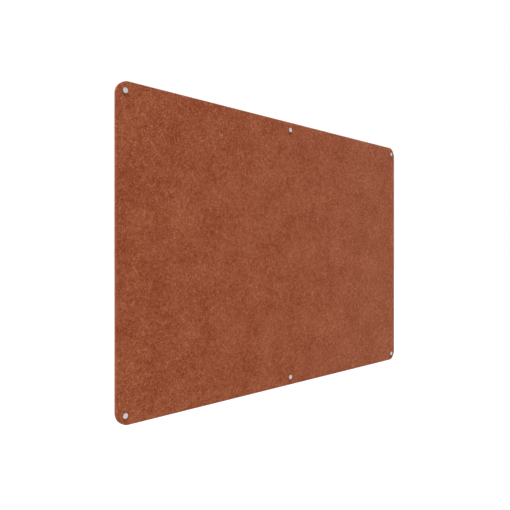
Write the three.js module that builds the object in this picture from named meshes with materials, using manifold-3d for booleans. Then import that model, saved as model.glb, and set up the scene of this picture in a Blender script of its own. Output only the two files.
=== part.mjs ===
// A frameless felt pinboard, held off a wall by turned standoff fixings.
// Millimetres, +Z up, +X along the board's length. The board faces -Y.
// The wall's surface is the plane y = 0, and the origin lies on it, behind the board's centre.

import * as THREE from "three";
import { mergeVertices } from "three/addons/utils/BufferGeometryUtils.js";
import Module from "manifold-3d";

const manifold = await Module();
manifold.setup();

// Felt panel: one needled sheet, cut to shape
const panel_length = 1800;
const panel_height = 1200;
const panel_thickness = 12;
const corner_radius = 50;
const edge_easing = 0.8;
const fixing_inset = 35;
const panel_hole_clearance = 0.5;

// Play between pieces that touch on the real object
const seat_gap = 0.3;

// Caps and barrels are turned from the same round bar
const fixing_radius = 10;

// Cap: a turned disc with a threaded stud on its back
const cap_thickness = 3;
const cap_chamfer = 0.6;
const cap_back_chamfer = 0.3;

// Thread between the stud and the barrel, which the solids leave out. A solid that carries a thread
// runs the play under its crests.
const thread_radius = 5;
const thread_pitch = 1.5;
const thread_turns = 5;
const thread_play = 0.3;
const stud_tip_chamfer = 0.9;

// Neck under the disc: the captive front washer sits in it, and the thread keeps it there
const neck_radius = 4;
const neck_spare = 0.4;

// Washers that keep metal off the felt
const front_washer_thickness = 0.7;
const rear_washer_thickness = 1;
const washer_width = 3.7;
const washer_play = 0.3;

// Barrel: a turned sleeve, screwed to the wall through its foot
const barrel_chamfer = 0.5;
const bore_lead_in = 0.8;
const head_room = 8.5;
const foot_land = 1.35;

// Wall screw with a countersunk head
const screw_length = 35;
const screw_thread_radius = 2;
const screw_head_radius = 4;
const screw_head_rim = 0.3;
const screw_point_length = 5;
const screw_hole_clearance = 0.25;
const screw_play = 0.3;

// Wall plug: a collared, slotted sleeve in the wall
const plug_length = 30;
const plug_wall = 1;
const plug_collar_lip = 1;
const plug_collar_thickness = 0.6;
const plug_collar_play = 0.5;
const plug_taper_length = 4;
const plug_tip_wall_share = 0.6;
const slot_width = 1;
const slot_start = 9;

// One overrun for every cutter
const cut_overrun = 1;

// Counts of facets
const turned_facets = 24;
const small_facets = 16;
const corner_facets = 10;
const easing_facets = 2;

// Radii that follow from what passes through or seats in them
const stud_radius = thread_radius - thread_play;
const panel_hole_radius = thread_radius + panel_hole_clearance;
const screw_shank_radius = screw_thread_radius - thread_play;
const screw_hole_radius = screw_thread_radius + screw_hole_clearance;
const plug_bore_radius = screw_shank_radius + screw_play;
const plug_radius = plug_bore_radius + plug_wall;
const plug_collar_radius = plug_radius + plug_collar_lip;
const relief_radius = plug_collar_radius + plug_collar_play;

// Depths of the barrel, from its foot on the wall to its mouth
const relief_depth = plug_collar_thickness + seat_gap;
const countersink_depth = screw_head_radius - screw_hole_radius;
const foot_thickness = relief_depth + foot_land + countersink_depth;
const thread_engagement = thread_pitch * thread_turns;
const barrel_length = foot_thickness + head_room + thread_engagement;

// Places along Y, from the wall out into the room
const barrel_mouth_y = -barrel_length;
const rear_washer_y = barrel_mouth_y - seat_gap;
const panel_back_y = rear_washer_y - rear_washer_thickness - seat_gap;
const panel_front_y = panel_back_y - panel_thickness;
const front_washer_y = panel_front_y - seat_gap;
const cap_y = front_washer_y - front_washer_thickness - seat_gap;
const screw_y = -foot_thickness - seat_gap - screw_head_rim;

// The stud runs from the cap's disc to the full depth of the thread
const stud_length = barrel_mouth_y + thread_engagement - cap_y;
const neck_length = seat_gap + front_washer_thickness + seat_gap + neck_spare;

// Places of the fixings: one in each corner, and one in the middle of each long edge
const column_x = panel_length / 2 - fixing_inset;
const row_z = panel_height / 2 - fixing_inset;
const columns = { left: -column_x, middle: 0, right: column_x };
const rows = { top: row_z, bottom: -row_z };

// Materials, in the colours that the board shows
const felt = new THREE.MeshStandardMaterial({ color: "#935137", roughness: 1, metalness: 0 });
const aluminium = new THREE.MeshStandardMaterial({ color: "#c9c5c6", roughness: 0.35, metalness: 1 });
const clear_nylon = new THREE.MeshStandardMaterial({ color: "#d9d8d2", roughness: 0.45, metalness: 0 });
const zinc_plated_steel = new THREE.MeshStandardMaterial({ color: "#b9bdc0", roughness: 0.35, metalness: 1 });
const grey_nylon = new THREE.MeshStandardMaterial({ color: "#8e9194", roughness: 0.6, metalness: 0 });

// A solid of revolution about Y. A profile is a list of [radius, y], with its outer side towards +Y.
function turned(profile, facets) {
  const points = profile.map(([radius, y]) => new THREE.Vector2(radius, y));
  return new THREE.LatheGeometry(points, facets);
}

// A ring's profile, closed on its first point
function turnedRing(profile, facets) {
  return turned([...profile, profile[0]], facets);
}

// A closed geometry as a solid for cutting
function solidOf(geometry) {
  const bare = geometry.clone();
  bare.deleteAttribute("normal");
  bare.deleteAttribute("uv");
  const merged = mergeVertices(bare);
  const mesh = new manifold.Mesh({
    numProp: 3,
    vertProperties: merged.attributes.position.array,
    triVerts: new Uint32Array(merged.index.array),
  });
  return new manifold.Manifold(mesh);
}

// A cut solid as a geometry again
function geometryOf(solid) {
  const mesh = solid.getMesh();
  const geometry = new THREE.BufferGeometry();
  geometry.setAttribute("position", new THREE.BufferAttribute(mesh.vertProperties, 3));
  geometry.setIndex(new THREE.BufferAttribute(mesh.triVerts, 1));
  geometry.computeVertexNormals();
  return geometry;
}

// The board's outline: a rectangle with round corners, in x and z
function panelOutline() {
  const half_length = panel_length / 2 - corner_radius;
  const half_height = panel_height / 2 - corner_radius;
  const quarter = Math.PI / 2;
  const outline = new THREE.Shape();
  outline.absarc(half_length, half_height, corner_radius, 0, quarter);
  outline.absarc(-half_length, half_height, corner_radius, quarter, 2 * quarter);
  outline.absarc(-half_length, -half_height, corner_radius, 2 * quarter, 3 * quarter);
  outline.absarc(half_length, -half_height, corner_radius, 3 * quarter, 4 * quarter);
  outline.closePath();
  return outline;
}

// The felt sheet, with a stud hole at each fixing and the soft arris that a cut felt edge has
function feltPanel() {
  const outline = panelOutline();
  for (const x of Object.values(columns)) {
    for (const z of Object.values(rows)) {
      const hole = new THREE.Path();
      hole.absarc(x, z, panel_hole_radius, 0, 2 * Math.PI, true);
      outline.holes.push(hole);
    }
  }
  const geometry = new THREE.ExtrudeGeometry(outline, {
    depth: panel_thickness - 2 * edge_easing,
    curveSegments: corner_facets,
    bevelThickness: edge_easing,
    bevelSize: edge_easing,
    bevelOffset: -edge_easing,
    bevelSegments: easing_facets,
  });
  // The extrusion runs along +Z, so it is turned to run from the panel's back towards the room
  geometry.translate(0, 0, edge_easing);
  geometry.rotateX(Math.PI / 2);
  return geometry;
}

// Cap, from the front of its disc to the tip of its stud; y = 0 is the disc's back
function cap() {
  const thread_start = neck_length + stud_radius - neck_radius;
  return turned(
    [
      [0, -cap_thickness],
      [fixing_radius - cap_chamfer, -cap_thickness],
      [fixing_radius, cap_chamfer - cap_thickness],
      [fixing_radius, -cap_back_chamfer],
      [fixing_radius - cap_back_chamfer, 0],
      [neck_radius, 0],
      [neck_radius, neck_length],
      [stud_radius, thread_start],
      [stud_radius, stud_length - stud_tip_chamfer],
      [stud_radius - stud_tip_chamfer, stud_length],
      [0, stud_length],
    ],
    turned_facets,
  );
}

// A flat washer; y = 0 is the side towards the wall
function washer(bore_radius, thickness) {
  return turnedRing(
    [
      [bore_radius, -thickness],
      [bore_radius + washer_width, -thickness],
      [bore_radius + washer_width, 0],
      [bore_radius, 0],
    ],
    turned_facets,
  );
}

// Barrel, from its threaded mouth to its foot; y = 0 is the foot's face on the wall.
// Its floor is countersunk for the wall screw, and relieved behind for the plug's collar.
function barrel() {
  return turnedRing(
    [
      [thread_radius + bore_lead_in, -barrel_length],
      [fixing_radius - barrel_chamfer, -barrel_length],
      [fixing_radius, barrel_chamfer - barrel_length],
      [fixing_radius, -barrel_chamfer],
      [fixing_radius - barrel_chamfer, 0],
      [relief_radius, 0],
      [relief_radius, -relief_depth],
      [screw_hole_radius, -relief_depth],
      [screw_hole_radius, countersink_depth - foot_thickness],
      [screw_head_radius, -foot_thickness],
      [thread_radius, -foot_thickness],
      [thread_radius, bore_lead_in - barrel_length],
    ],
    turned_facets,
  );
}

// Wall screw with a 90 degree head; y = 0 is the head's top
function wallScrew() {
  const head_height = screw_head_rim + screw_head_radius - screw_shank_radius;
  return turned(
    [
      [0, 0],
      [screw_head_radius, 0],
      [screw_head_radius, screw_head_rim],
      [screw_shank_radius, head_height],
      [screw_shank_radius, screw_length - screw_point_length],
      [0, screw_length],
    ],
    small_facets,
  );
}

// Wall plug, from its collar on the wall to its tapered end; y = 0 is the wall's surface.
// Two crossed slots part its far end into the prongs that the screw spreads.
function wallPlug() {
  const tip_radius = plug_bore_radius + plug_wall * plug_tip_wall_share;
  const sleeve = turnedRing(
    [
      [plug_bore_radius, -plug_collar_thickness],
      [plug_collar_radius, -plug_collar_thickness],
      [plug_collar_radius, 0],
      [plug_radius, 0],
      [plug_radius, plug_length - plug_taper_length],
      [tip_radius, plug_length],
      [plug_bore_radius, plug_length],
    ],
    small_facets,
  );
  const slot_depth = plug_length + cut_overrun - slot_start;
  const slot_span = 2 * (plug_radius + cut_overrun);
  const slot = new THREE.BoxGeometry(slot_width, slot_depth, slot_span);
  slot.translate(0, slot_start + slot_depth / 2, 0);
  const crossed_slot = slot.clone().rotateY(Math.PI / 2);
  return geometryOf(solidOf(sleeve).subtract(solidOf(slot)).subtract(solidOf(crossed_slot)));
}

// A named mesh at its place along Y
function piece(name, geometry, material, y) {
  const mesh = new THREE.Mesh(geometry, material);
  mesh.name = name;
  mesh.position.y = y;
  return mesh;
}

// One fixing, in its own frame: its axis is Y, and y = 0 is the wall
function fixing(place) {
  const front_washer = washer(neck_radius + washer_play, front_washer_thickness);
  const rear_washer = washer(thread_radius + washer_play, rear_washer_thickness);
  const group = new THREE.Group();
  group.add(piece(`${place}_cap`, cap(), aluminium, cap_y));
  group.add(piece(`${place}_front_washer`, front_washer, clear_nylon, front_washer_y));
  group.add(piece(`${place}_rear_washer`, rear_washer, clear_nylon, rear_washer_y));
  group.add(piece(`${place}_barrel`, barrel(), aluminium, 0));
  group.add(piece(`${place}_wall_screw`, wallScrew(), zinc_plated_steel, screw_y));
  group.add(piece(`${place}_wall_plug`, wallPlug(), grey_nylon, 0));
  return group;
}

const pinboard = new THREE.Group();
pinboard.add(piece("felt_panel", feltPanel(), felt, panel_back_y));
for (const [row, z] of Object.entries(rows)) {
  for (const [column, x] of Object.entries(columns)) {
    const group = fixing(`${row}_${column}`);
    group.position.set(x, 0, z);
    pinboard.add(group);
  }
}

export default pinboard;
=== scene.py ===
"""A felt pinboard on turned standoff fixings.

The file is laid out as an add-on and is run as a script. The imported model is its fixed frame: each
piece takes its place and size from the node that it replaces, and rides on that node's body.
Lengths are in metres. The board faces -Y, +Z is up, and the wall's surface is the plane y = 0.
"""

import math
from collections import namedtuple

import bmesh
import bpy
import numpy as np
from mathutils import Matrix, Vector


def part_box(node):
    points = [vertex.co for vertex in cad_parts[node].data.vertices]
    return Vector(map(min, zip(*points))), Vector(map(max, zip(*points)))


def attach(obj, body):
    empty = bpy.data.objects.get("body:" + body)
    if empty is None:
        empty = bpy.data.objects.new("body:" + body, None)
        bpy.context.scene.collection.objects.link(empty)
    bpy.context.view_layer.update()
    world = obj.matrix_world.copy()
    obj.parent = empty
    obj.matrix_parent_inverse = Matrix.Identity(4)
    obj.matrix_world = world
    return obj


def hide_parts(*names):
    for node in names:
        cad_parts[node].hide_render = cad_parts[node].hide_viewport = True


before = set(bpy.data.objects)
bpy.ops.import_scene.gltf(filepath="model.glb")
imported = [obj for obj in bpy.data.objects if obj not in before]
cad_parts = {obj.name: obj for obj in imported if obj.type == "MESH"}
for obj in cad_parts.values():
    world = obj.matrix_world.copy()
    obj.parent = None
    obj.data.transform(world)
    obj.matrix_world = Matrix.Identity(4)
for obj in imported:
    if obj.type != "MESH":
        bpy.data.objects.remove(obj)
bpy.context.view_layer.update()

bl_info = {
    "name": "Felt pinboard",
    "version": (1, 0, 0),
    "blender": (4, 5, 0),
    "location": "3D View > Sidebar > Pinboard",
    "description": "Models a felt pinboard on turned standoff fixings, with a plain studio",
    "category": "Add Mesh",
}

MM = 0.001
FULL_TURN = 2 * math.pi
QUARTER_TURN = math.pi / 2

# The sRGB standard's curve, from a written channel to light: a power law, but straight near black
SRGB_FULL = 255
SRGB_KNEE = 0.04045
SRGB_SLOPE = 12.92
SRGB_OFFSET = 0.055
SRGB_POWER = 2.4

# The six fixings: one in each corner, and one in the middle of each long edge
ROWS = ("top", "bottom")
COLUMNS = ("left", "middle", "right")
PLACES = [f"{row}_{column}" for row in ROWS for column in COLUMNS]
PATTERN_PLACE = PLACES[0]

# Each fixing's pieces keep where a point lies from the fixing's own axis, for patterns that turn with it
FIXING_ATTRIBUTE = "fixing_place"

# Fine marks: their width and depth, and the share by which they make a surface lighter and darker
Marks = namedtuple("Marks", "width depth shade")

# Turned metal, with marks of the tool whose sides turn to the light and away, which is painted into
# the colour as lighter and darker shade. A real mark is under 0.1 mm wide, and is drawn wider so that it
# shows.
TOOL_MARKS = Marks(width=0.4 * MM, depth=0.006 * MM, shade=0.18)

# Moulded nylon, a little cloudy with its grain
MOULD_GRAIN = Marks(width=0.6 * MM, depth=0.01 * MM, shade=0.1)
NYLON_ROUGHNESS = 0.45
NYLON_IOR = 1.53

# How far fine marks raise and lower the roughness
ROUGHNESS_SPREAD = 0.06

# What to multiply a place by, to keep what lies across the lathe's axis
ACROSS_AXIS = (1, 0, 1)

# Noise lies evenly about its middle, and its detail is how many finer layers are added to it
NOISE_MIDDLE = 0.5
NOISE_DETAIL = 2.0
FLECK_DETAIL = 1.0
FIBRE_DETAIL = 0.0

# How far a heading points along X, for the board's left and for straight ahead
LEFTWARD = -1.0
AHEAD = 0.0

# A punch is this many times as long as what it goes through is thick
PUNCH_OVERRUN = 2

# A screw thread rises from nothing over this share of its pitch at each end
RUN_IN_SHARE = 0.5

# An edge or a normal runs along an axis when its share along it is over this, and across the axis when
# its share is under what this leaves of 1
STRAIGHT_SHARE = 0.9
MERGE_DISTANCE = 0.001 * MM
SMOOTH_ANGLE = math.radians(35)


def linear(hex_colour):
    """An sRGB hex colour as linear red, green, blue and alpha."""
    light = []
    for channel in bytes.fromhex(hex_colour.lstrip("#")):
        level = channel / SRGB_FULL
        if level > SRGB_KNEE:
            light.append(((level + SRGB_OFFSET) / (1 + SRGB_OFFSET)) ** SRGB_POWER)
        else:
            light.append(level / SRGB_SLOPE)
    return (*light, 1.0)


def length(name, description, millimetres):
    """A length that a user can change."""
    return bpy.props.FloatProperty(
        name=name, description=description, default=millimetres * MM, min=0, unit="LENGTH", precision=5
    )


def count(name, description, default):
    """A number of facets, cuts or layers."""
    return bpy.props.IntProperty(name=name, description=description, default=default, min=1)


def share(name, description, default):
    """A share, from nothing to the whole."""
    return bpy.props.FloatProperty(
        name=name, description=description, default=default, min=0, max=1, subtype="FACTOR"
    )


def angle(name, description, degrees):
    """An angle that a user can change."""
    return bpy.props.FloatProperty(
        name=name, description=description, default=math.radians(degrees), unit="ROTATION"
    )


def strength(name, description, default):
    """The strength of a light or of a pattern."""
    return bpy.props.FloatProperty(name=name, description=description, default=default)


def colour(name, description, hex_colour):
    """A colour, written as sRGB hex and held as linear."""
    return bpy.props.FloatVectorProperty(
        name=name,
        description=description,
        default=linear(hex_colour),
        size=4,
        min=0,
        max=1,
        subtype="COLOR",
    )


class FeltSettings(bpy.types.PropertyGroup):
    """The felt sheet."""

    corner_radius: length("Corner radius", "Radius of the sheet's four corners", 50)
    corner_facets: count("Corner facets", "Facets in each round corner", 32)
    rim_easing: length("Rim easing", "How far the cut rims are rounded over", 0.9)
    rim_facets: count("Rim facets", "Facets across an eased rim", 3)
    hole_radius: length("Hole radius", "Radius of the stud holes", 5.5)
    hole_facets: count("Hole facets", "Facets round a stud hole", 48)
    mesh_step: length("Mesh step", "Spacing of the sheet's mesh lines", 10)
    edge_rows: count("Edge rows", "Rows of faces across the cut edge", 4)
    relief_depth: length("Relief depth", "How deep the needled faces sink in places", 0.35)
    relief_width: length("Relief width", "Distance from one sunken place to the next", 45)
    edge_relief_depth: length("Edge relief depth", "How uneven the cut edge is", 0.25)
    edge_relief_width: length("Edge relief width", "Distance between the hollows of the cut edge", 14)
    curl_width: length("Curl width", "Distance over which a fibre changes its heading", 16)
    curl_reach: length("Curl reach", "How far a fibre wanders off its heading", 10)
    fibre_layers: count("Fibre layers", "Layers of fibres, each with a heading of its own", 8)
    fibre_length: length("Fibre length", "Length of a fibre", 12)
    fibre_width: length("Fibre width", "Width of a fibre", 0.35)
    fibre_turn: angle("Fibre turn", "Turn from one layer of fibres to the next", 69)
    fibre_start: share("Fibre start", "Level of the noise at which the side of a fibre starts", 0.53)
    fibre_full: share("Fibre full", "Level of the noise at which a fibre covers what is under it", 0.65)
    fibre_contrast: share("Fibre contrast", "How much a fibre is lighter or darker than the body", 0.3)
    fibre_relief: length("Fibre relief", "How far fibres and locks stand up", 0.1)
    lock_layers: count("Lock layers", "Layers of locks, each with a heading of its own", 5)
    lock_length: length("Lock length", "Length of a lock of fibres", 24)
    lock_width: length("Lock width", "Width of a lock of fibres", 6)
    lock_start: share("Lock start", "Level of the noise at which the side of a lock starts", 0.5)
    lock_full: share("Lock full", "Level of the noise at which a lock is at its lightest", 0.8)
    lock_weight: strength("Lock weight", "How much each layer of locks shows", 0.12)
    ply_thickness: length("Ply thickness", "Thickness of a layer of fibres on the cut edge", 1.6)
    fleck_width: length("Fleck width", "Distance between the fine flecks", 3.2)
    fleck_weight: strength("Fleck weight", "How much the flecks show", 0.21)
    clump_width: length("Clump width", "Distance between clumps of fibres", 26)
    clump_weight: strength("Clump weight", "How much the clumps show", 0.18)
    cloud_width: length("Cloud width", "Distance between soft clouds in the felt", 110)
    cloud_weight: strength("Cloud weight", "How much the clouds show", 0.28)
    ground: strength("Ground", "Level under the fibres, which the patterns are added to", -0.45)
    # The felt's colour follows its level, which is also its relief. Deep is painted shade in the hollows
    # between fibres, and raised is painted highlight on the fibres on top, over the fibres' own random
    # tones.
    deep: colour("Deep", "Felt between the raised fibres", "#6a1600")
    body: colour("Body", "The felt as it reads from afar", "#8c4522")
    raised: colour("Raised", "The lightest fibres on top", "#c17d5d")
    roughness: share("Roughness", "Roughness of the fibres", 0.95)
    gloss: share("Gloss", "How much light the fibres mirror", 0.15)
    fuzz: share("Fuzz", "How much light the loose hairs catch from the side", 0.05)
    fuzz_roughness: share("Fuzz roughness", "How evenly the loose hairs spread that light", 0.5)


class CapSettings(bpy.types.PropertyGroup):
    """The turned caps with their threaded studs."""

    facets: count("Facets", "Facets round a cap", 64)
    disc_thickness: length("Disc thickness", "Thickness of the disc", 3)
    face_chamfer: length("Face chamfer", "Chamfer round the disc's face", 0.6)
    back_chamfer: length("Back chamfer", "Chamfer round the disc's back", 0.3)
    edge_break: length("Edge break", "Rounding of each turned arris", 0.08)
    neck_radius: length("Neck radius", "Radius of the neck that holds the washer", 4)
    neck_length: length("Neck length", "Length of the neck", 1.7)
    crest_radius: length("Crest radius", "Outer radius of the stud's thread", 4.9)
    root_radius: length("Root radius", "Radius at the bottom of the stud's thread", 4.15)
    pitch: length("Pitch", "Pitch of the thread", 1.5)
    rings_per_turn: count("Rings a turn", "Mesh rings in each turn of the thread", 10)
    crest_share: share("Crest share", "Half the width of the ridge's top, as a share of the pitch", 0.08)
    root_share: share("Root share", "Half the width of the ridge's foot, as a share of the pitch", 0.4)
    tip_chamfer: length("Tip chamfer", "Chamfer on the stud's tip", 0.9)
    roughness: share("Roughness", "Roughness of the anodised face", 0.45)
    metal: colour("Aluminium", "Satin anodised aluminium", "#c9c5c6")


class BarrelSettings(bpy.types.PropertyGroup):
    """The turned barrels."""

    facets: count("Facets", "Facets round a barrel", 64)
    end_chamfer: length("End chamfer", "Chamfer on the barrel's outer rims", 0.5)
    lead_in: length("Lead-in", "Chamfer in the mouth of the bore", 0.8)
    crest_radius: length("Crest radius", "Inner radius of the bore's thread", 4.35)
    root_radius: length("Root radius", "Radius at the bottom of the bore's thread", 5.0)
    crest_share: share("Crest share", "Half the width of the ridge's top, as a share of the pitch", 0.06)
    root_share: share("Root share", "Half the width of the ridge's foot, as a share of the pitch", 0.36)
    thread_phase: share("Thread phase", "Where the bore's ridge stands, as a share of the pitch", 0.5)
    foot_thickness: length("Foot thickness", "From the wall to the bore's floor", 4)
    head_radius: length("Countersink radius", "Radius of the countersink at the bore's floor", 4)
    hole_radius: length("Screw hole radius", "Radius of the hole for the wall screw", 2.25)
    relief_radius: length("Relief radius", "Radius of the relief round the plug's collar", 4.5)
    relief_depth: length("Relief depth", "Depth of that relief", 0.9)
    roughness: share("Roughness", "Roughness of the turned side", 0.38)


class WasherSettings(bpy.types.PropertyGroup):
    """The washers on both sides of the felt."""

    facets: count("Facets", "Facets round a washer", 64)
    front_bore: length("Front bore", "Bore radius of the front washer", 4.3)
    rear_bore: length("Rear bore", "Bore radius of the rear washer", 5.3)
    easing: length("Easing", "Rounding of the moulded rims", 0.12)
    clearness: share("Clearness", "How much light passes through the nylon", 0.8)
    nylon: colour("Nylon", "Natural clear nylon", "#dcdad2")


class ScrewSettings(bpy.types.PropertyGroup):
    """The wall screws."""

    facets: count("Facets", "Facets round a screw", 32)
    rim: length("Head rim", "Height of the head's straight rim", 0.3)
    shank_radius: length("Shank radius", "Radius of the plain shank", 1.6)
    shank_end: length("Shank end", "Length of the plain shank under the head", 2)
    crest_radius: length("Crest radius", "Outer radius of the thread", 1.9)
    root_radius: length("Root radius", "Radius at the bottom of the thread", 1.25)
    pitch: length("Pitch", "Pitch of the thread", 1.8)
    rings_per_turn: count("Rings a turn", "Mesh rings in each turn of the thread", 8)
    crest_share: share("Crest share", "Half the width of the ridge's top, as a share of the pitch", 0.04)
    root_share: share("Root share", "Half the width of the ridge's foot, as a share of the pitch", 0.24)
    turn_step: angle("Turn step", "How much further each next screw is driven", 37)
    point_length: length("Point length", "Length of the tapered point", 5)
    point_radius: length("Point radius", "Radius of the blunt tip", 0.12)
    recess_span: length("Recess span", "Width across the cross recess", 4.4)
    recess_width: length("Recess width", "Width of each arm of the recess", 0.9)
    recess_depth: length("Recess depth", "Depth of the recess", 2)
    roughness: share("Roughness", "Roughness of the plated steel", 0.32)
    steel: colour("Steel", "Zinc-plated steel", "#b9bdc0")


class PlugSettings(bpy.types.PropertyGroup):
    """The wall plugs."""

    facets: count("Facets", "Facets round a plug", 48)
    bore_radius: length("Bore radius", "Radius of the screw's bore", 2)
    collar_thickness: length("Collar thickness", "Thickness of the collar on the wall", 0.6)
    body_radius: length("Body radius", "Radius of the sleeve", 3)
    groove_radius: length("Groove radius", "Radius at the bottom of the gripping ribs", 2.7)
    rib_start: length("First rib", "From the wall to the first rib", 10)
    rib_step: length("Rib spacing", "From one rib to the next", 2)
    taper: length("Taper", "Length of the tapered end", 4)
    tip_radius: length("Tip radius", "Radius of the tapered end", 2.6)
    slot_width: length("Slot width", "Width of the crossed slots", 1)
    slot_start: length("Slot start", "From the wall to where the slots begin", 9)
    fin_reach: length("Fin reach", "How far the two fins stand out from the axis", 3.8)
    fin_width: length("Fin width", "Thickness of a fin", 0.8)
    fin_start: length("Fin start", "From the wall to the fins", 1.5)
    fin_length: length("Fin length", "Length of a fin", 6)
    turn_step: angle("Turn step", "How much further each next plug is turned", 25)
    nylon: colour("Nylon", "Grey nylon", "#8e9194")


class StudioSettings(bpy.types.PropertyGroup):
    """The floor, the lights and the camera."""

    floor_drop: length("Floor drop", "From the board's centre down to the floor", 1800)
    floor_size: length("Floor size", "Length of the floor's sides", 120000)
    floor_colour: colour("Floor colour", "Pale floor", "#aaaaaa")
    floor_glow: strength("Floor glow", "What the floor adds where it is seen, up to white", 0.4)
    sky_glow: strength("Sky glow", "Soft light from all round", 0.35)
    left_glow: strength("Left glow", "What that light rises to on the board's left", 1.7)
    key_strength: strength("Key strength", "Light from above the board's front", 3.9)
    key_height: angle("Key height", "Height of that light over the horizon", 72.5)
    key_heading: angle("Key heading", "How far that light comes from the board's left", 25)
    key_softness: angle("Key softness", "Breadth of that light", 9)
    camera_heading: angle("Camera heading", "Turn of the camera to the board's right", 45.005)
    lens: bpy.props.FloatProperty(
        name="Lens",
        description="Focal length in millimetres on a 36 mm sensor",
        default=39.1,
        unit="CAMERA",
    )
    eye: bpy.props.FloatVectorProperty(
        name="Eye",
        description="Place of the camera",
        default=(-1.9064, -1.7133, -0.0066),
        subtype="XYZ",
        unit="LENGTH",
    )


def deselect():
    """Clears the selection, so that an operator acts only on what comes next."""
    bpy.ops.object.select_all(action="DESELECT")


def select_only(piece):
    """Makes one piece the only selected and the active one."""
    deselect()
    piece.select_set(True)
    bpy.context.view_layer.objects.active = piece


def edit(piece):
    """Opens one piece for editing, with nothing selected in it."""
    select_only(piece)
    bpy.ops.object.mode_set(mode="EDIT")
    bpy.ops.mesh.select_all(action="DESELECT")


def leave_edit():
    """Goes back to object mode."""
    bpy.ops.object.mode_set(mode="OBJECT")


def pick(kind, test):
    """In edit mode, selects just the edges or faces that pass a test."""
    bpy.ops.mesh.select_mode(type=kind)
    bpy.ops.mesh.select_all(action="DESELECT")
    mesh = bmesh.from_edit_mesh(bpy.context.object.data)
    parts = mesh.edges if kind == "EDGE" else mesh.faces
    for part in parts:
        if test(part):
            part.select_set(True)
    bmesh.update_edit_mesh(bpy.context.object.data)


def apply_place(piece):
    """Puts a piece's place, turn and scale in its mesh."""
    select_only(piece)
    bpy.ops.object.transform_apply(location=True, rotation=True, scale=True)


def turn_on_lathe(name, steps, facets, hollow=False):
    """A turned piece about Y. It starts as a circle and is extruded from one (radius, y) to the next.
    A hollow one ends on its first ring again, and a solid one keeps a flat face at each end."""
    deselect()
    radius, place = steps[0]
    bpy.ops.mesh.primitive_circle_add(
        vertices=facets,
        radius=radius,
        fill_type="NOTHING" if hollow else "NGON",
        location=(0, place, 0),
        rotation=(QUARTER_TURN, 0, 0),
    )
    piece = bpy.context.object
    piece.name = name
    apply_place(piece)
    edit(piece)
    bpy.ops.mesh.select_all(action="SELECT")
    later = steps[1:] + steps[:1] if hollow else steps[1:]
    for next_radius, next_place in later:
        bpy.ops.mesh.extrude_region_move(TRANSFORM_OT_translate={"value": (0, next_place - place, 0)})
        ratio = next_radius / radius
        bpy.ops.transform.resize(value=(ratio, 1, ratio), center_override=(0, next_place, 0))
        radius, place = next_radius, next_place
    bpy.ops.mesh.select_all(action="SELECT")
    bpy.ops.mesh.remove_doubles(threshold=MERGE_DISTANCE)
    bpy.ops.mesh.normals_make_consistent(inside=False)
    leave_edit()
    return piece


def reach(vertex):
    """A vertex's distance from the lathe's axis."""
    return math.hypot(vertex.co.x, vertex.co.z)


def cut_rings(piece, low, high, radius, rings):
    """Cuts rings in the straight section that runs at one radius from low to high along Y."""

    def on_section(edge):
        ends = sorted(vertex.co.y for vertex in edge.verts)
        spans = math.isclose(ends[0], low, abs_tol=MERGE_DISTANCE)
        spans = spans and math.isclose(ends[1], high, abs_tol=MERGE_DISTANCE)
        return spans and all(math.isclose(reach(v), radius, abs_tol=MERGE_DISTANCE) for v in edge.verts)

    edit(piece)
    pick("EDGE", on_section)
    bpy.ops.mesh.subdivide(number_cuts=rings)
    leave_edit()


def cut_thread(piece, low, high, ridge, spacing, phase_share=0):
    """Cuts a right-hand thread in the straight section that runs at its root radius from low to high along
    Y. One piece's settings shape its ridge, and those of the piece that it fits space it. Its rings'
    vertices move to the helix, so the piece stays one closed mesh, which a thread that is wound apart and
    joined on would not."""
    root = ridge.root_radius
    rings = round((high - low) / spacing.pitch * spacing.rings_per_turn) - 1
    cut_rings(piece, low, high, root, rings)
    points = np.empty(len(piece.data.vertices) * 3)
    piece.data.vertices.foreach_get("co", points)
    points = points.reshape(-1, 3)
    x, y, z = points.T
    reaches = np.hypot(x, z)
    on_section = np.abs(reaches - root) < MERGE_DISTANCE
    on_section &= (y > low + MERGE_DISTANCE) & (y < high - MERGE_DISTANCE)
    turned = np.arctan2(x, z) / FULL_TURN
    along = (y / spacing.pitch - turned - phase_share) % 1
    from_ridge = np.minimum(along, 1 - along)
    wanted = np.interp(from_ridge, (ridge.crest_share, ridge.root_share), (ridge.crest_radius, root))
    from_end = np.minimum(y - low, high - y)
    run_in = np.clip(from_end / (spacing.pitch * RUN_IN_SHARE), 0, 1)
    wanted = root + (wanted - root) * run_in
    grown = np.where(on_section, wanted / np.maximum(reaches, MERGE_DISTANCE), 1)
    points[:, 0] *= grown
    points[:, 2] *= grown
    piece.data.vertices.foreach_set("co", points.ravel())
    piece.data.update()


def cut_or_join(piece, tools, operation):
    """Cuts pieces out of another, or joins them to it, with one boolean."""
    deselect()
    for tool in tools:
        tool.select_set(True)
    bpy.context.view_layer.objects.active = tools[0]
    if len(tools) > 1:
        bpy.ops.object.join()
    together = bpy.context.object
    select_only(piece)
    modifier = piece.modifiers.new("boolean", "BOOLEAN")
    modifier.operation = operation
    modifier.object = together
    modifier.solver = "EXACT"
    modifier.use_self = len(tools) > 1
    bpy.ops.object.modifier_apply(modifier=modifier.name)
    bpy.data.objects.remove(together)


def block(size, place):
    """A block at its place, to cut with or to shape further."""
    deselect()
    bpy.ops.mesh.primitive_cube_add(size=1, location=place, scale=size)
    made = bpy.context.object
    apply_place(made)
    return made


def crossed_blocks(span, depth, width, middle):
    """Two blocks that cross on the lathe's axis, to cut with."""
    sizes = ((span, depth, width), (width, depth, span))
    return [block(size, (0, middle, 0)) for size in sizes]


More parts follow.
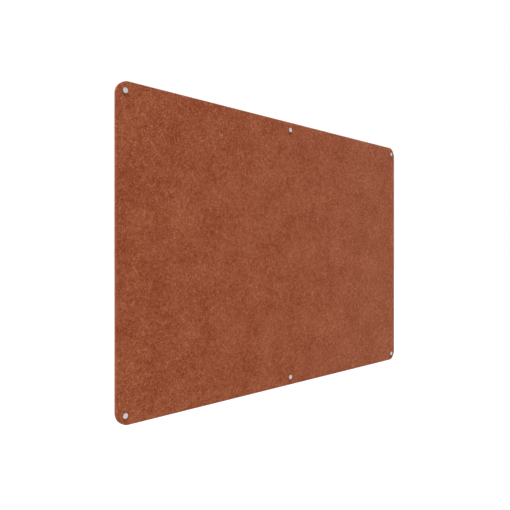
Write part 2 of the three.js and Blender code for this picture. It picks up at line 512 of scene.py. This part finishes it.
def roughen(piece, name, width, depth, group=""):
    """Sinks a piece's surface unevenly, up to a depth, by soft hollows of a width."""
    texture = bpy.data.textures.new(name, "CLOUDS")
    texture.noise_scale = width
    select_only(piece)
    modifier = piece.modifiers.new(name, "DISPLACE")
    modifier.texture = texture
    modifier.texture_coords = "LOCAL"
    modifier.vertex_group = group
    modifier.strength = depth
    modifier.mid_level = 1
    bpy.ops.object.modifier_apply(modifier=modifier.name)
    bpy.data.textures.remove(texture)


def axis_of(place):
    """Where a fixing's axis stands, in x and z."""
    low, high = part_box(f"{place}_cap")
    middle = (low + high) / 2
    return middle.x, middle.z


def round_corners(panel, felt):
    """Rounds the four corners of the felt sheet."""

    def crosses_sheet(edge):
        along = (edge.verts[0].co - edge.verts[1].co).normalized()
        return abs(along.y) > STRAIGHT_SHARE

    edit(panel)
    pick("EDGE", crosses_sheet)
    bpy.ops.mesh.bevel(offset=felt.corner_radius, segments=felt.corner_facets, affect="EDGES")
    leave_edit()


def punch_stud_holes(panel, felt, low, high):
    """Punches a hole for each fixing's stud."""
    punches = []
    for place in PLACES:
        x, z = axis_of(place)
        deselect()
        bpy.ops.mesh.primitive_cylinder_add(
            vertices=felt.hole_facets,
            radius=felt.hole_radius,
            depth=(high.y - low.y) * PUNCH_OVERRUN,
            location=(x, (low.y + high.y) / 2, z),
            rotation=(QUARTER_TURN, 0, 0),
        )
        punches.append(bpy.context.object)
    cut_or_join(panel, punches, "DIFFERENCE")


def ease_rims(panel, felt):
    """Rounds over the rims of the sheet's cut edge and of its stud holes."""

    def is_rim(edge):
        leans = sorted(abs(face.normal.y) for face in edge.link_faces)
        return leans[0] < 1 - STRAIGHT_SHARE and leans[-1] > STRAIGHT_SHARE

    edit(panel)
    pick("EDGE", is_rim)
    bpy.ops.mesh.bevel(offset=felt.rim_easing, segments=felt.rim_facets, affect="EDGES")
    leave_edit()


def add_mesh_lines(panel, felt, low, high):
    """Cuts mesh lines across the sheet, for its unevenness to follow."""
    rows = (
        round((high.x - low.x) / felt.mesh_step),
        felt.edge_rows,
        round((high.z - low.z) / felt.mesh_step),
    )
    edit(panel)
    for axis, cuts in enumerate(rows):
        direction = Vector((0, 0, 0))
        direction[axis] = 1
        for number in range(1, cuts):
            point = direction * (low[axis] + (high[axis] - low[axis]) * number / cuts)
            bpy.ops.mesh.select_all(action="SELECT")
            bpy.ops.mesh.bisect(plane_co=point, plane_no=direction)
    leave_edit()


def roughen_sheet(panel, felt):
    """Makes the cut edge uneven, and then the whole sheet."""
    edit(panel)
    pick("FACE", lambda face: abs(face.normal.y) < 1 - STRAIGHT_SHARE)
    bpy.ops.object.vertex_group_add()
    bpy.ops.object.vertex_group_assign()
    leave_edit()
    cut_edge = panel.vertex_groups.active.name
    roughen(panel, "cut_edge_relief", felt.edge_relief_width, felt.edge_relief_depth, cut_edge)
    roughen(panel, "needled_relief", felt.relief_width, felt.relief_depth)
    panel.vertex_groups.clear()


def finish_surface(piece, material):
    """Gives a piece its material, and smooth shading over its soft arrises."""
    piece.data.materials.append(material)
    select_only(piece)
    bpy.ops.object.shade_smooth_by_angle(angle=SMOOTH_ANGLE)


def copy_to_places(pattern, title, node, body, material, turn_step=0):
    """Copies a pattern from the axis of the lathe to the six fixings, each copy with its own mesh and
    turned a step further than the one before."""
    finish_surface(pattern, material)
    attribute = pattern.data.attributes.new(FIXING_ATTRIBUTE, "FLOAT_VECTOR", "POINT")
    points = np.empty(len(pattern.data.vertices) * 3, np.float32)
    pattern.data.vertices.foreach_get("co", points)
    attribute.data.foreach_set("vector", points)
    for number, place in enumerate(PLACES):
        select_only(pattern)
        bpy.ops.object.duplicate(linked=False)
        piece = bpy.context.object
        piece.name = f"{place}_{title}"
        piece.data.name = piece.name
        piece.rotation_euler.y = turn_step * number
        x, z = axis_of(place)
        piece.location = (x, 0, z)
        apply_place(piece)
        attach(piece, body.format(place=place))
        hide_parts(f"{place}_{node}")
    bpy.data.objects.remove(pattern)


def add_node(tree, kind, inputs=None, **settings):
    """Adds one node. An input is a value, or the output of another node, which is then linked."""
    made = tree.nodes.new(kind)
    for name, value in settings.items():
        setattr(made, name, value)
    for key, value in (inputs or {}).items():
        if isinstance(value, bpy.types.NodeSocket):
            tree.links.new(value, made.inputs[key])
        else:
            made.inputs[key].default_value = value
    return made


def new_material(name):
    """An empty node material and its tree."""
    material = bpy.data.materials.new(name)
    material.use_nodes = True
    material.node_tree.nodes.clear()
    return material, material.node_tree


def close_material(tree, shader):
    """Links a shader to the material's output."""
    add_node(tree, "ShaderNodeOutputMaterial", {"Surface": shader})


def weigh_up(tree, start, patterns):
    """Adds patterns to a starting level, each times its weight."""
    level = start
    for pattern, weight in patterns:
        level = add_node(
            tree, "ShaderNodeMath", {0: pattern, 1: weight, 2: level}, operation="MULTIPLY_ADD"
        ).outputs[0]
    return level


def strewn(tree, place, size, turn, shift):
    """Noise of unit scale, stretched to smooth threads of a size, which lie at one turn on the board's
    face."""
    laid = add_node(
        tree,
        "ShaderNodeMapping",
        {"Vector": place, "Location": shift, "Rotation": (0, turn, 0), "Scale": size},
        vector_type="TEXTURE",
    )
    noise = add_node(
        tree, "ShaderNodeTexNoise", {"Vector": laid.outputs[0], "Scale": 1.0, "Detail": FIBRE_DETAIL}
    )
    return noise.outputs["Fac"]


def covering(tree, noise, start, full):
    """How far fibres cover what is under them: not at all where the noise is under its starting level,
    and wholly where it is over its full one."""
    cover = add_node(
        tree,
        "ShaderNodeMapRange",
        {"Value": noise, "From Min": start, "From Max": full},
        interpolation_type="SMOOTHSTEP",
    )
    return cover.outputs[0]


def swayed(tree, place, settings):
    """The place, swayed so that straight threads come out curled."""
    sway = add_node(
        tree,
        "ShaderNodeTexNoise",
        {"Vector": place, "Scale": 1 / settings.curl_width, "Detail": NOISE_DETAIL},
    )
    centred = add_node(
        tree,
        "ShaderNodeVectorMath",
        {0: sway.outputs["Color"], 1: (NOISE_MIDDLE,) * 3},
        operation="SUBTRACT",
    )
    made = add_node(
        tree,
        "ShaderNodeVectorMath",
        {0: centred.outputs[0], 1: (settings.curl_reach,) * 3, 2: place},
        operation="MULTIPLY_ADD",
    )
    return made.outputs[0]


def fibre_pattern(tree, place, settings):
    """Layers of fibres, by turns darker and lighter. Each layer covers a part of the layers under it."""
    fibres = NOISE_MIDDLE
    for layer in range(settings.fibre_layers):
        shift = (layer * settings.clump_width, layer * settings.cloud_width, 0)
        size = (settings.fibre_length, settings.fibre_width, settings.fibre_width)
        noise = strewn(tree, place, size, layer * settings.fibre_turn, shift)
        cover = covering(tree, noise, settings.fibre_start, settings.fibre_full)
        tone = NOISE_MIDDLE + settings.fibre_contrast * (1 if layer % 2 else -1)
        mixed = add_node(tree, "ShaderNodeMix", {0: cover, 2: fibres, 3: tone}, data_type="FLOAT")
        fibres = mixed.outputs[0]
    return fibres


def lock_patterns(tree, place, settings):
    """Layers of locks, which stand out light, and their weights. On the cut edge they are as thin as a ply
    of fibres."""
    locks = []
    for layer in range(settings.lock_layers):
        turn = math.pi * layer / settings.lock_layers
        shift = (layer * settings.cloud_width, layer * settings.clump_width, 0)
        size = (settings.lock_length, settings.ply_thickness, settings.lock_width)
        noise = strewn(tree, place, size, turn, shift)
        lock = covering(tree, noise, settings.lock_start, settings.lock_full)
        locks.append((lock, settings.lock_weight))
    return locks


def loose_patterns(tree, place, settings):
    """Fine flecks, which stand out light, soft clumps and clouds, which shade both ways, and the weights
    of all three."""
    flecks = add_node(
        tree,
        "ShaderNodeTexNoise",
        {"Vector": place, "Scale": 1 / settings.fleck_width, "Detail": FLECK_DETAIL},
    )
    fleck = covering(tree, flecks.outputs["Fac"], settings.fibre_start, settings.fibre_full)
    patterns = [(fleck, settings.fleck_weight)]
    soft = (
        (settings.clump_width, settings.clump_weight),
        (settings.cloud_width, settings.cloud_weight),
    )
    for width, weight in soft:
        noise = add_node(
            tree, "ShaderNodeTexNoise", {"Vector": place, "Scale": 1 / width, "Detail": NOISE_DETAIL}
        )
        patterns.append((noise.outputs["Fac"], weight))
    return patterns


def felt_material(settings):
    """Needled polyester felt: layers of curled fibres in darker and lighter shades, with locks and flecks
    that stand out light, and soft uneven clouds. The colour follows the same level as the relief, so
    what stands up is painted lighter and the hollows between fibres darker: painted highlight and shade
    over the fibres' own random tones. To the eye it is matt, warm and a little hairy, and its fuzz
    catches light from the side. A real fibre is some 0.03 mm thick and is drawn about ten times as
    thick, because a real one would not show."""
    material, tree = new_material("needled_polyester_felt")
    place = add_node(tree, "ShaderNodeTexCoord").outputs["Object"]
    curled = swayed(tree, place, settings)
    patterns = [(fibre_pattern(tree, curled, settings), 1)]
    patterns += lock_patterns(tree, curled, settings)
    patterns += loose_patterns(tree, place, settings)
    level = weigh_up(tree, settings.ground, patterns)
    # Painted shade in the hollows and painted highlight on the raised fibres, by the same level as the
    # bump
    ramp = add_node(tree, "ShaderNodeValToRGB", {"Fac": level})
    stops = ramp.color_ramp.elements
    stops[0].color = settings.deep
    stops[1].color = settings.raised
    stops.new(NOISE_MIDDLE).color = settings.body
    bump = add_node(tree, "ShaderNodeBump", {"Height": level, "Distance": settings.fibre_relief})
    shader = add_node(
        tree,
        "ShaderNodeBsdfPrincipled",
        {
            "Base Color": ramp.outputs["Color"],
            "Roughness": settings.roughness,
            "Specular IOR Level": settings.gloss,
            "Sheen Weight": settings.fuzz,
            "Sheen Roughness": settings.fuzz_roughness,
            "Normal": bump.outputs[0],
        },
    )
    close_material(tree, shader.outputs[0])
    return material


def marked(tree, place, marks, base, roughness):
    """A shader's inputs for a surface with fine marks. They make its colour lighter and darker, raise and
    lower its roughness a little, and stand up from it."""
    noise = add_node(
        tree, "ShaderNodeTexNoise", {"Vector": place, "Scale": 1 / marks.width, "Detail": NOISE_DETAIL}
    )
    pattern = noise.outputs["Fac"]
    # Lighter and darker colour: painted shade and highlight on metal, the nylon's own cloudy tone on nylon
    low, high = 1 - marks.shade, 1 + marks.shade
    shade = add_node(tree, "ShaderNodeMapRange", {"Value": pattern, "To Min": low, "To Max": high})
    shaded = add_node(
        tree, "ShaderNodeVectorMath", {0: base[:3], "Scale": shade.outputs[0]}, operation="SCALE"
    )
    low, high = roughness - ROUGHNESS_SPREAD, roughness + ROUGHNESS_SPREAD
    uneven = add_node(tree, "ShaderNodeMapRange", {"Value": pattern, "To Min": low, "To Max": high})
    bump = add_node(tree, "ShaderNodeBump", {"Height": pattern, "Distance": marks.depth})
    return {
        "Base Color": shaded.outputs[0],
        "Roughness": uneven.outputs[0],
        "Normal": bump.outputs[0],
    }


def metal_material(name, base, roughness):
    """Turned metal: fine rings that the tool left round the axis, painted by turns lighter and darker as
    shade and highlight on their sides. To the eye it is satin, and its reflections are soft and drawn
    out across the rings."""
    material, tree = new_material(name)
    place = add_node(tree, "ShaderNodeAttribute", attribute_name=FIXING_ATTRIBUTE)
    flat = add_node(
        tree, "ShaderNodeVectorMath", {0: place.outputs["Vector"], 1: ACROSS_AXIS}, operation="MULTIPLY"
    )
    radius = add_node(tree, "ShaderNodeVectorMath", {0: flat.outputs[0]}, operation="LENGTH")
    parts = add_node(tree, "ShaderNodeSeparateXYZ", {0: place.outputs["Vector"]})
    rings = add_node(tree, "ShaderNodeCombineXYZ", {"X": radius.outputs["Value"], "Y": parts.outputs["Y"]})
    surface = marked(tree, rings.outputs[0], TOOL_MARKS, base, roughness)
    shader = add_node(tree, "ShaderNodeBsdfPrincipled", {"Metallic": 1.0, **surface})
    close_material(tree, shader.outputs[0])
    return material


def nylon_material(name, base, clearness):
    """Moulded nylon with the faint grain of its mould. To the eye it is waxy, and where it is clear,
    what lies behind it shows through as a haze."""
    material, tree = new_material(name)
    place = add_node(tree, "ShaderNodeAttribute", attribute_name=FIXING_ATTRIBUTE)
    surface = marked(tree, place.outputs["Vector"], MOULD_GRAIN, base, NYLON_ROUGHNESS)
    shader = add_node(
        tree,
        "ShaderNodeBsdfPrincipled",
        {"IOR": NYLON_IOR, "Transmission Weight": clearness, **surface},
    )
    close_material(tree, shader.outputs[0])
    return material


def seen_directly(tree):
    """1 for rays that see the floor or the background straight, mirrored or through nylon."""
    path = add_node(tree, "ShaderNodeLightPath")
    seen = path.outputs["Is Camera Ray"]
    for kind in ("Is Glossy Ray", "Is Transmission Ray"):
        larger = add_node(tree, "ShaderNodeMath", {0: seen, 1: path.outputs[kind]}, operation="MAXIMUM")
        seen = larger.outputs[0]
    return seen


def lay_floor(studio):
    """Lays a pale matt floor, which adds a glow where it is seen, so that it is seen white."""
    deselect()
    bpy.ops.mesh.primitive_plane_add(size=studio.floor_size, location=(0, 0, -studio.floor_drop))
    floor = bpy.context.object
    floor.name = "studio_floor"
    apply_place(floor)
    material, tree = new_material("pale_matt_floor")
    shine = add_node(
        tree, "ShaderNodeMath", {0: seen_directly(tree), 1: studio.floor_glow}, operation="MULTIPLY"
    )
    glow = add_node(tree, "ShaderNodeEmission", {"Strength": shine.outputs[0]})
    matt = add_node(tree, "ShaderNodeBsdfDiffuse", {"Color": studio.floor_colour})
    both = add_node(tree, "ShaderNodeAddShader", {0: matt.outputs[0], 1: glow.outputs[0]})
    close_material(tree, both.outputs[0])
    floor.data.materials.append(material)


def light_room(scene, studio):
    """Lights the room softly from all round, and more from the left, before a white background."""
    world = bpy.data.worlds.new("soft_white_room")
    scene.world = world
    world.use_nodes = True
    tree = world.node_tree
    tree.nodes.clear()
    white = (1.0, 1.0, 1.0, 1.0)
    heading = add_node(tree, "ShaderNodeTexCoord").outputs["Generated"]
    rightward = add_node(tree, "ShaderNodeSeparateXYZ", {"Vector": heading}).outputs["X"]
    limits = {
        "From Min": LEFTWARD,
        "From Max": AHEAD,
        "To Min": studio.left_glow,
        "To Max": studio.sky_glow,
    }
    soft = add_node(
        tree, "ShaderNodeMapRange", {"Value": rightward, **limits}, interpolation_type="SMOOTHSTEP"
    )
    dim = add_node(tree, "ShaderNodeBackground", {"Color": white, "Strength": soft.outputs[0]})
    bright = add_node(tree, "ShaderNodeBackground", {"Color": white, "Strength": 1.0})
    mix = add_node(
        tree, "ShaderNodeMixShader", {0: seen_directly(tree), 1: dim.outputs[0], 2: bright.outputs[0]}
    )
    add_node(tree, "ShaderNodeOutputWorld", {"Surface": mix.outputs[0]})


def hang_key_light(studio):
    """Hangs the broad lamp above the board's front."""
    deselect()
    lean = (QUARTER_TURN - studio.key_height, 0, -studio.key_heading)
    bpy.ops.object.light_add(type="SUN", rotation=lean)
    key = bpy.context.object
    key.name = "key_light"
    key.data.energy = studio.key_strength
    key.data.angle = studio.key_softness
    # The lamp itself is not mirrored, so that the caps' chamfers show no glint
    key.visible_glossy = False


def place_camera(scene, studio):
    """Puts a level camera on the board's left and makes it the scene's own."""
    deselect()
    level_turn = (QUARTER_TURN, 0, -studio.camera_heading)
    bpy.ops.object.camera_add(location=studio.eye, rotation=level_turn)
    camera = bpy.context.object
    camera.data.lens = studio.lens
    scene.camera = camera
    scene.view_settings.view_transform = "Standard"


class PINBOARD_OT_felt_panel(bpy.types.Operator):
    """Cuts the felt sheet, punches its stud holes, eases its rims and roughens it"""

    bl_idname = "pinboard.felt_panel"
    bl_label = "Felt panel"

    def execute(self, context):
        felt = context.scene.pinboard_felt
        low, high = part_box("felt_panel")
        panel = block(high - low, (low + high) / 2)
        panel.name = "needled_felt_panel"
        round_corners(panel, felt)
        punch_stud_holes(panel, felt, low, high)
        ease_rims(panel, felt)
        add_mesh_lines(panel, felt, low, high)
        roughen_sheet(panel, felt)
        finish_surface(panel, felt_material(felt))
        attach(panel, "board")
        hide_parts("felt_panel")
        return {"FINISHED"}


class PINBOARD_OT_caps(bpy.types.Operator):
    """Turns the caps and cuts the thread on their studs"""

    bl_idname = "pinboard.caps"
    bl_label = "Caps"

    def execute(self, context):
        cap = context.scene.pinboard_cap
        low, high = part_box(f"{PATTERN_PLACE}_cap")
        radius = (high.x - low.x) / 2
        back = low.y + cap.disc_thickness
        neck_end = back + cap.neck_length
        thread_start = neck_end + cap.root_radius - cap.neck_radius
        thread_end = high.y - cap.tip_chamfer
        steps = [
            (radius - cap.face_chamfer - cap.edge_break, low.y),
            (radius - cap.face_chamfer + cap.edge_break, low.y + cap.edge_break),
            (radius - cap.edge_break, low.y + cap.face_chamfer - cap.edge_break),
            (radius, low.y + cap.face_chamfer + cap.edge_break),
            (radius, back - cap.back_chamfer),
            (radius - cap.back_chamfer, back),
            (cap.neck_radius, back),
            (cap.neck_radius, neck_end),
            (cap.root_radius, thread_start),
            (cap.root_radius, thread_end),
            (cap.root_radius - cap.tip_chamfer, high.y),
        ]
        pattern = turn_on_lathe("cap_pattern", steps, cap.facets)
        cut_thread(pattern, thread_start, thread_end, cap, cap)
        metal = metal_material("satin_anodised_aluminium", cap.metal, cap.roughness)
        copy_to_places(pattern, "turned_cap", "cap", "{place}_turning_cap", metal)
        return {"FINISHED"}


class PINBOARD_OT_washers(bpy.types.Operator):
    """Turns the nylon washers on both sides of the felt"""

    bl_idname = "pinboard.washers"
    bl_label = "Washers"

    def execute(self, context):
        washer = context.scene.pinboard_washer
        nylon = nylon_material("clear_moulded_nylon", washer.nylon, washer.clearness)
        kinds = (
            ("front", washer.front_bore, "{place}_riding_washer"),
            ("rear", washer.rear_bore, "board"),
        )
        for side, bore, body in kinds:
            low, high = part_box(f"{PATTERN_PLACE}_{side}_washer")
            outer = (high.x - low.x) / 2
            ease = washer.easing
            steps = [
                (bore + ease, low.y),
                (outer - ease, low.y),
                (outer, low.y + ease),
                (outer, high.y - ease),
                (outer - ease, high.y),
                (bore + ease, high.y),
                (bore, high.y - ease),
                (bore, low.y + ease),
            ]
            pattern = turn_on_lathe(f"{side}_washer_pattern", steps, washer.facets, hollow=True)
            copy_to_places(pattern, f"nylon_{side}_washer", f"{side}_washer", body, nylon)
        return {"FINISHED"}


class PINBOARD_OT_barrels(bpy.types.Operator):
    """Turns the barrels, with a threaded bore and a countersunk foot"""

    bl_idname = "pinboard.barrels"
    bl_label = "Barrels"

    def execute(self, context):
        barrel = context.scene.pinboard_barrel
        cap = context.scene.pinboard_cap
        low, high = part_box(f"{PATTERN_PLACE}_barrel")
        radius = (high.x - low.x) / 2
        floor = high.y - barrel.foot_thickness
        sunk = floor + barrel.head_radius - barrel.hole_radius
        relief = high.y - barrel.relief_depth
        mouth_end = low.y + barrel.lead_in
        steps = [
            (barrel.root_radius + barrel.lead_in, low.y),
            (radius - barrel.end_chamfer, low.y),
            (radius, low.y + barrel.end_chamfer),
            (radius, high.y - barrel.end_chamfer),
            (radius - barrel.end_chamfer, high.y),
            (barrel.relief_radius, high.y),
            (barrel.relief_radius, relief),
            (barrel.hole_radius, relief),
            (barrel.hole_radius, sunk),
            (barrel.head_radius, floor),
            (barrel.root_radius, floor),
            (barrel.root_radius, mouth_end),
        ]
        pattern = turn_on_lathe("barrel_pattern", steps, barrel.facets, hollow=True)
        cut_thread(pattern, mouth_end, floor, barrel, cap, barrel.thread_phase)
        metal = metal_material("satin_turned_aluminium", cap.metal, barrel.roughness)
        copy_to_places(pattern, "threaded_barrel", "barrel", "board", metal)
        return {"FINISHED"}


class PINBOARD_OT_wall_screws(bpy.types.Operator):
    """Turns the wall screws, with a countersunk head, a cross recess and a thread"""

    bl_idname = "pinboard.wall_screws"
    bl_label = "Wall screws"

    def execute(self, context):
        screw = context.scene.pinboard_screw
        low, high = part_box(f"{PATTERN_PLACE}_wall_screw")
        radius = (high.x - low.x) / 2
        rim_end = low.y + screw.rim
        head_end = rim_end + radius - screw.shank_radius
        shank_end = head_end + screw.shank_end
        thread_start = shank_end + screw.shank_radius - screw.root_radius
        thread_end = high.y - screw.point_length
        steps = [
            (radius, low.y),
            (radius, rim_end),
            (screw.shank_radius, head_end),
            (screw.shank_radius, shank_end),
            (screw.root_radius, thread_start),
            (screw.root_radius, thread_end),
            (screw.point_radius, high.y),
        ]
        pattern = turn_on_lathe("screw_pattern", steps, screw.facets)
        arms = crossed_blocks(screw.recess_span, 2 * screw.recess_depth, screw.recess_width, low.y)
        cut_or_join(pattern, arms, "DIFFERENCE")
        cut_thread(pattern, thread_start, thread_end, screw, screw)
        steel = metal_material("zinc_plated_steel", screw.steel, screw.roughness)
        copy_to_places(pattern, "driven_screw", "wall_screw", "board", steel, screw.turn_step)
        return {"FINISHED"}


class PINBOARD_OT_wall_plugs(bpy.types.Operator):
    """Moulds the ribbed, finned and slotted wall plugs"""

    bl_idname = "pinboard.wall_plugs"
    bl_label = "Wall plugs"

    def execute(self, context):
        plug = context.scene.pinboard_plug
        low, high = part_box(f"{PATTERN_PLACE}_wall_plug")
        collar = (high.x - low.x) / 2
        wall = low.y + plug.collar_thickness
        taper_start = high.y - plug.taper
        steps = [
            (plug.bore_radius, low.y),
            (collar, low.y),
            (collar, wall),
            (plug.body_radius, wall),
        ]
        place = wall + plug.rib_start
        while place + plug.rib_step < taper_start:
            steps += [(plug.body_radius, place), (plug.groove_radius, place)]
            place += plug.rib_step
        steps += [
            (plug.body_radius, place),
            (plug.body_radius, taper_start),
            (plug.tip_radius, high.y),
            (plug.bore_radius, high.y),
        ]
        pattern = turn_on_lathe("plug_pattern", steps, plug.facets, hollow=True)
        slot_depth = high.y - plug.slot_start + plug.slot_width
        slot_middle = plug.slot_start + slot_depth / 2
        slots = crossed_blocks(2 * plug.fin_reach, slot_depth, plug.slot_width, slot_middle)
        cut_or_join(pattern, slots, "DIFFERENCE")
        inner = (plug.bore_radius + plug.body_radius) / 2
        fin_size = (plug.fin_reach - inner, plug.fin_length, plug.fin_width)
        fin_middle = wall + plug.fin_start + plug.fin_length / 2
        fins = [block(fin_size, (side * (inner + plug.fin_reach) / 2, fin_middle, 0)) for side in (-1, 1)]
        cut_or_join(pattern, fins, "UNION")
        nylon = nylon_material("grey_moulded_nylon", plug.nylon, clearness=0.0)
        copy_to_places(pattern, "ribbed_plug", "wall_plug", "board", nylon, plug.turn_step)
        return {"FINISHED"}


class PINBOARD_OT_studio(bpy.types.Operator):
    """Lays the pale floor, and sets the soft lights and the camera"""

    bl_idname = "pinboard.studio"
    bl_label = "Studio"

    def execute(self, context):
        studio = context.scene.pinboard_studio
        lay_floor(studio)
        light_room(context.scene, studio)
        hang_key_light(studio)
        place_camera(context.scene, studio)
        return {"FINISHED"}


class PINBOARD_PT_sidebar(bpy.types.Panel):
    """Builds the pinboard piece by piece"""

    bl_label = "Felt pinboard"
    bl_idname = "PINBOARD_PT_sidebar"
    bl_space_type = "VIEW_3D"
    bl_region_type = "UI"
    bl_category = "Pinboard"

    def draw(self, context):
        for operator, settings in STEPS:
            box = self.layout.box()
            box.operator(operator.bl_idname)
            group = getattr(context.scene, settings)
            for name in group.bl_rna.properties.keys():
                if name not in ("rna_type", "name"):
                    box.prop(group, name)


SETTINGS = {
    "pinboard_felt": FeltSettings,
    "pinboard_cap": CapSettings,
    "pinboard_washer": WasherSettings,
    "pinboard_barrel": BarrelSettings,
    "pinboard_screw": ScrewSettings,
    "pinboard_plug": PlugSettings,
    "pinboard_studio": StudioSettings,
}
STEPS = (
    (PINBOARD_OT_felt_panel, "pinboard_felt"),
    (PINBOARD_OT_caps, "pinboard_cap"),
    (PINBOARD_OT_washers, "pinboard_washer"),
    (PINBOARD_OT_barrels, "pinboard_barrel"),
    (PINBOARD_OT_wall_screws, "pinboard_screw"),
    (PINBOARD_OT_wall_plugs, "pinboard_plug"),
    (PINBOARD_OT_studio, "pinboard_studio"),
)


def register():
    """Registers the settings, the operators and the panel."""
    for name, settings in SETTINGS.items():
        bpy.utils.register_class(settings)
        setattr(bpy.types.Scene, name, bpy.props.PointerProperty(type=settings))
    for operator, _ in STEPS:
        bpy.utils.register_class(operator)
    bpy.utils.register_class(PINBOARD_PT_sidebar)


def unregister():
    """Takes all of it away again."""
    bpy.utils.unregister_class(PINBOARD_PT_sidebar)
    for operator, _ in STEPS:
        bpy.utils.unregister_class(operator)
    for name, settings in SETTINGS.items():
        delattr(bpy.types.Scene, name)
        bpy.utils.unregister_class(settings)


def main():
    """Builds the board and its studio."""
    register()
    for operator, _ in STEPS:
        group, name = operator.bl_idname.split(".")
        getattr(getattr(bpy.ops, group), name)()


if __name__ == "__main__":
    main()
